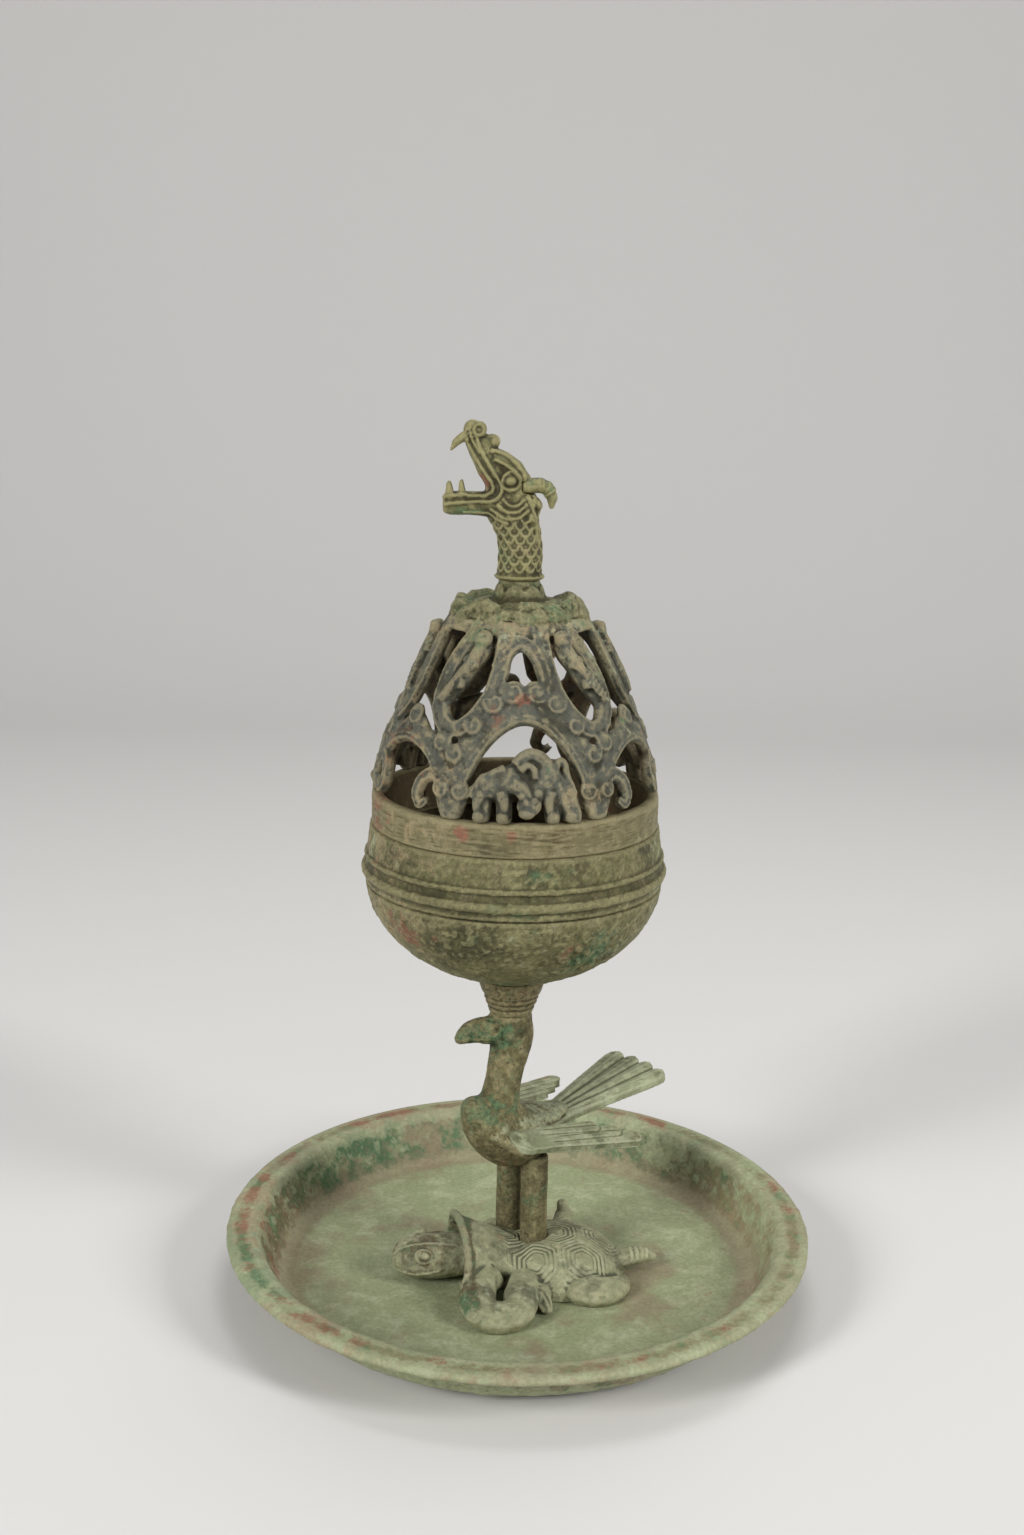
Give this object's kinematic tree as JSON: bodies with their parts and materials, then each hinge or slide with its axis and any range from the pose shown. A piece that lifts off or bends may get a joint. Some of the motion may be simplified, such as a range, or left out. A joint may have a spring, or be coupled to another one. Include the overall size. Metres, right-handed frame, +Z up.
{
  "type": "hill censer",
  "caption": "Bronze hill censer with a lift-off pierced lid and dragon finial, a round bowl on a bird stem, and a tortoise in a wide tray, used to burn incense.",
  "frame": {"origin": "on the table, at the middle of the tray", "axes": "+Z up, -Y toward the viewer of the picture, -X the way the dragon and the bird face"},
  "size_m": [0.2, 0.2, 0.2907],
  "materials": {
    "tray_patina": "matte green and brown patina",
    "tortoise_patina": "matte pale grey-green patina",
    "leg_patina": "matte brown patina",
    "bird_patina": "matte olive-brown patina",
    "feather_patina": "matte grey-green patina",
    "bowl_patina": "matte olive patina with malachite spots",
    "hill_patina": "satin slate and olive patina",
    "dragon_patina": "satin olive patina"
  },
  "bodies": {
    "base": {"tray": "tray_patina", "tortoise_body": "tortoise_patina", "tortoise_head": "tortoise_patina", "leg_rivets": "leg_patina", "bird_near_leg": "leg_patina", "bird_far_leg": "leg_patina", "bird_body": "bird_patina", "bird_near_wing": "feather_patina", "bird_far_wing": "feather_patina", "bird_tail": "feather_patina", "stem_collar": "leg_patina", "bowl": "bowl_patina", "bowl_rivet": "bowl_patina"},
    "lid": {"lid_band": "bowl_patina", "lid_openwork": "hill_patina", "lid_beasts": "hill_patina", "lid_crown": "hill_patina"},
    "finial": {"dragon_head": "dragon_patina", "dragon_near_horn": "dragon_patina", "dragon_far_horn": "dragon_patina"}
  },
  "joints": [
    {"name": "lid_lift", "type": "slide", "parent": "base", "child": "lid", "axis": [0, 0, 1], "range_m": [0, 0.12]},
    {"name": "finial_lift", "type": "slide", "parent": "lid", "child": "finial", "axis": [0, 0, 1], "range_m": [0, 0.03]}
  ]
}
